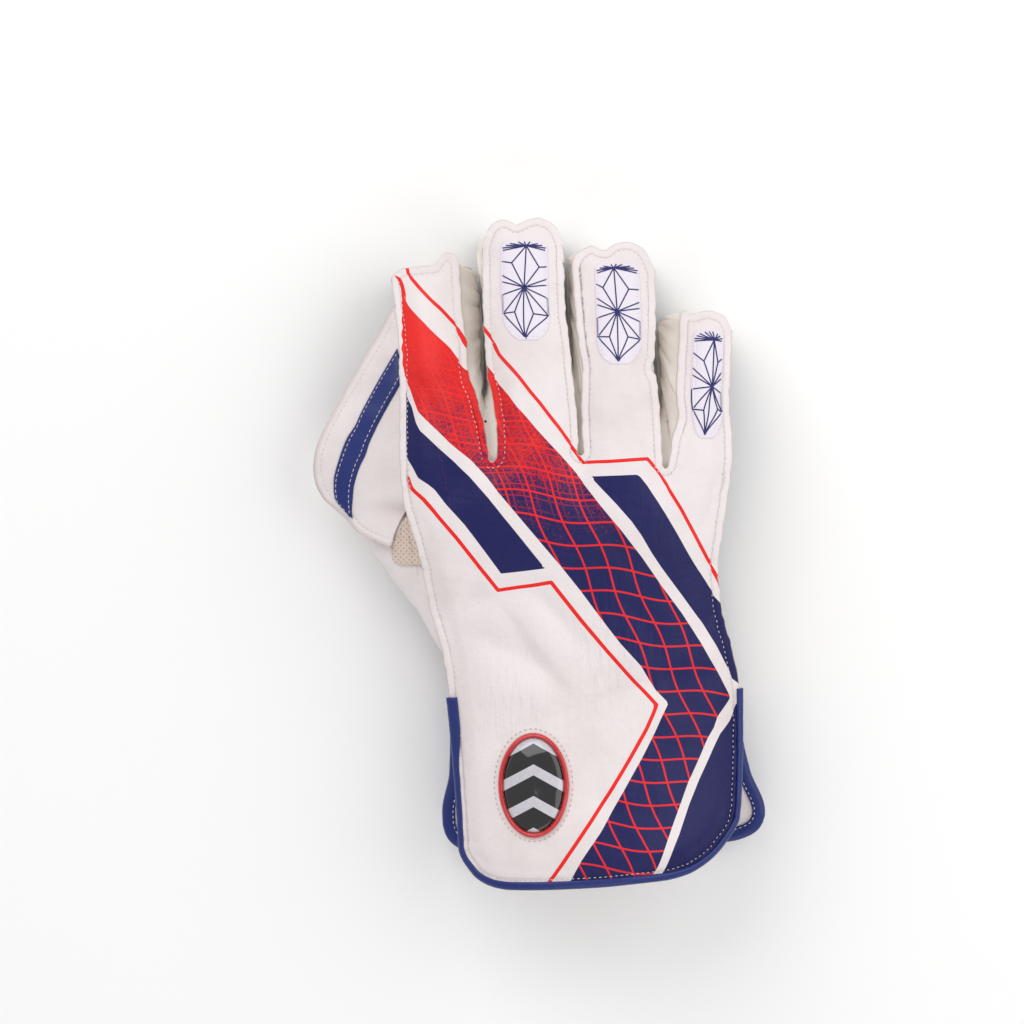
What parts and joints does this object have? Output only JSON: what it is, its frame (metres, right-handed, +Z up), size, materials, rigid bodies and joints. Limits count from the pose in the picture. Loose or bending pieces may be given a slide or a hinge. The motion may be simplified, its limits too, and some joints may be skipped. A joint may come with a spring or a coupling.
{
  "type": "wicketkeeping glove",
  "caption": "Padded leather wicketkeeping glove with finger stalls, thumb web and a wide open cuff, lying palm down.",
  "frame": {"origin": "middle of the underside of the box round the glove, on the surface that it lies on", "axes": "+Y to the fingertips, +X to the little finger's side, +Z up through the back of the hand"},
  "size_m": [0.2184, 0.3214, 0.0792],
  "materials": {
    "white_leather": "satin",
    "palm_rubber": "matte",
    "trim_leather": "satin",
    "gusset_leather": "matte",
    "patch_fabric": "matte",
    "badge_rim": "gloss",
    "badge_face": "gloss"
  },
  "bodies": {
    "root": {"back_panel": "white_leather", "palm_panel": "palm_rubber", "side_wall_index": "white_leather", "fourchette_index_middle": "white_leather", "fourchette_middle_ring": "white_leather", "fourchette_ring_little": "white_leather", "side_wall_little": "white_leather", "thumb_stall": "white_leather", "thumb_gusset": "gusset_leather", "web_panel": "white_leather", "web_stripe": "trim_leather", "cuff_flap_palm": "white_leather", "cuff_binding_back": "trim_leather", "cuff_binding_palm": "trim_leather", "finger_patch_middle": "patch_fabric", "finger_patch_ring": "patch_fabric", "finger_patch_little": "patch_fabric", "badge_rim": "badge_rim", "badge_face": "badge_face"}
  },
  "joints": []
}
